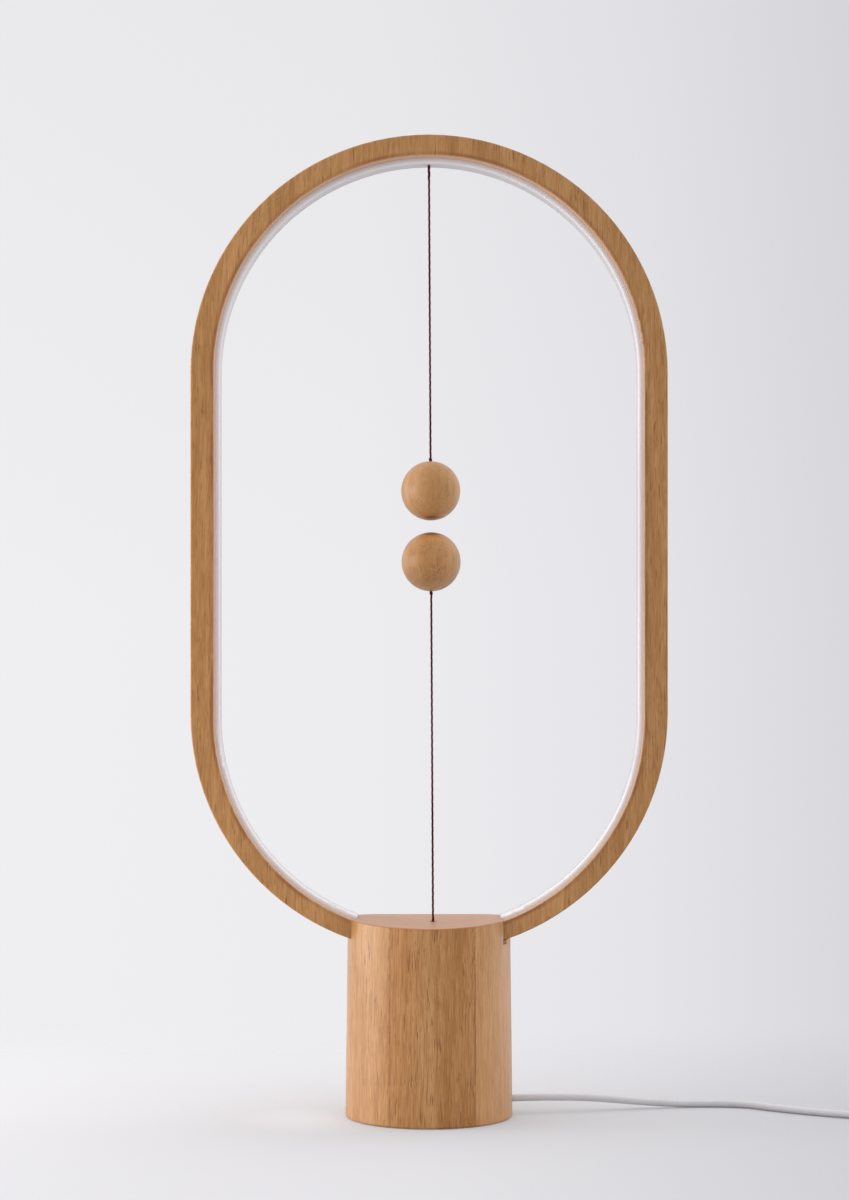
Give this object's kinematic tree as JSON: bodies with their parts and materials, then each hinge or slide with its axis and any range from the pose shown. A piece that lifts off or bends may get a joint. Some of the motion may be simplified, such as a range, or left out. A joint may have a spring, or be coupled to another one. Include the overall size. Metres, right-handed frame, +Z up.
{
  "type": "magnetic balance lamp",
  "caption": "Wooden oval ring lamp on a round base; wooden magnet balls on threads pull towards each other inside the ring and switch on its light strip.",
  "frame": {"origin": "centre of the round foot, on the table", "axes": "+Z up, +X to the right along the ring when seen from the front, +Y to the back"},
  "size_m": [0.3999, 0.0706, 0.4124],
  "materials": {
    "base_wood": "satin",
    "ball_wood": "satin",
    "ring_wood": "satin",
    "black_plastic": "matte",
    "foot_rubber": "matte",
    "steel": "satin",
    "brass": "satin",
    "board_green": "satin",
    "white_plastic": "matte",
    "red_plastic": "satin",
    "cable_grey": "satin",
    "diffuser_milk": "satin",
    "strip_white": "matte",
    "chip_yellow": "satin",
    "wire_red": "satin",
    "thread_burgundy": "matte",
    "magnet_nickel": "polished",
    "plug_grey": "satin"
  },
  "bodies": {
    "stand": {"base_body": "base_wood", "saddle_block": "base_wood", "ring_frame": "ring_wood", "bottom_cover": "black_plastic", "switch_frame": "black_plastic", "microswitch_body": "black_plastic", "driver_components": "black_plastic", "foot_pad": "foot_rubber", "cover_screws": "steel", "ballast_screws": "steel", "ballast_weight": "steel", "board_standoffs": "brass", "board_screws": "steel", "ring_screws": "steel", "frame_screws": "steel", "microswitch_screws": "steel", "switch_spring": "steel", "lever_pin": "steel", "microswitch_terminals": "brass", "circuit_board": "board_green", "board_connectors": "white_plastic", "cable_clamp": "black_plastic", "cable_grommet": "cable_grey", "thread_guide": "brass", "thread_anchor": "brass", "diffuser": "diffuser_milk", "led_strips": "strip_white", "led_chips": "chip_yellow", "led_wires": "wire_red", "switch_wires": "wire_red", "upper_thread_stub": "thread_burgundy", "anchor_knot": "thread_burgundy", "inner_cable": "cable_grey", "power_cable": "cable_grey", "power_cable_coil": "cable_grey", "power_cable_tail": "cable_grey", "coil_tie": "black_plastic", "usb_plug_body": "plug_grey", "usb_plug_shell": "steel", "usb_plug_tongue": "white_plastic"},
    "upper_joint": {"upper_exit_knot": "thread_burgundy"},
    "upper_pendulum": {"upper_thread": "thread_burgundy", "upper_ball_knot": "thread_burgundy", "upper_ball": "ball_wood", "upper_crimp": "steel", "upper_magnet": "magnet_nickel", "upper_ball_plug": "ball_wood"},
    "puller": {"switch_plunger": "white_plastic", "plunger_knot": "thread_burgundy", "lower_thread_inner": "thread_burgundy"},
    "lever": {"microswitch_lever": "steel"},
    "button": {"microswitch_button": "red_plastic"},
    "lower_joint": {"lower_stop_knot": "thread_burgundy"},
    "lower_string": {"lower_thread": "thread_burgundy"},
    "lower_weight": {"lower_ball": "ball_wood", "lower_crimp": "steel", "lower_magnet": "magnet_nickel", "lower_ball_plug": "ball_wood", "lower_ball_knot": "thread_burgundy"}
  },
  "joints": [
    {"name": "upper_sway", "type": "hinge", "parent": "stand", "child": "upper_joint", "pos_m": [0, 0, 0.401], "axis": [0, 1, 0], "range_deg": [-33, 33]},
    {"name": "upper_swing", "type": "hinge", "parent": "upper_joint", "child": "upper_pendulum", "pos_m": [0, 0, 0.401], "axis": [1, 0, 0], "range_deg": [-60, 60]},
    {"name": "switch_pull", "type": "slide", "parent": "stand", "child": "puller", "axis": [0, 0, 1], "range_m": [-0.003, 0], "stiffness_N_per_m": 20, "springref_m": -0.006, "deforming": ["switch_spring"]},
    {"name": "microswitch_lever", "type": "hinge", "parent": "stand", "child": "lever", "pos_m": [0.018, 0, 0.0413], "axis": [0, 1, 0], "range_deg": [-15, 0.5]},
    {"name": "microswitch_button", "type": "slide", "parent": "stand", "child": "button", "axis": [0, 0, 1], "range_m": [-0.00095, 0.00005]},
    {"name": "lower_sway", "type": "hinge", "parent": "puller", "child": "lower_joint", "pos_m": [0.0017, 0, 0.0812], "axis": [0, 1, 0], "range_deg": [-8, 8]},
    {"name": "lower_swing", "type": "hinge", "parent": "lower_joint", "child": "lower_string", "pos_m": [0.0017, 0, 0.0812], "axis": [1, 0, 0], "range_deg": [-8, 8]},
    {"name": "lower_ball_drop", "type": "slide", "parent": "lower_string", "child": "lower_weight", "axis": [-0.0053, 0, 1], "range_m": [-0.1358, 0], "deforming": ["lower_thread"]}
  ],
  "couplings": [
    {"joint": "microswitch_lever", "follows": "switch_pull", "rad_per_m": 83.333},
    {"joint": "microswitch_button", "follows": "switch_pull", "ratio": 0.3}
  ]
}
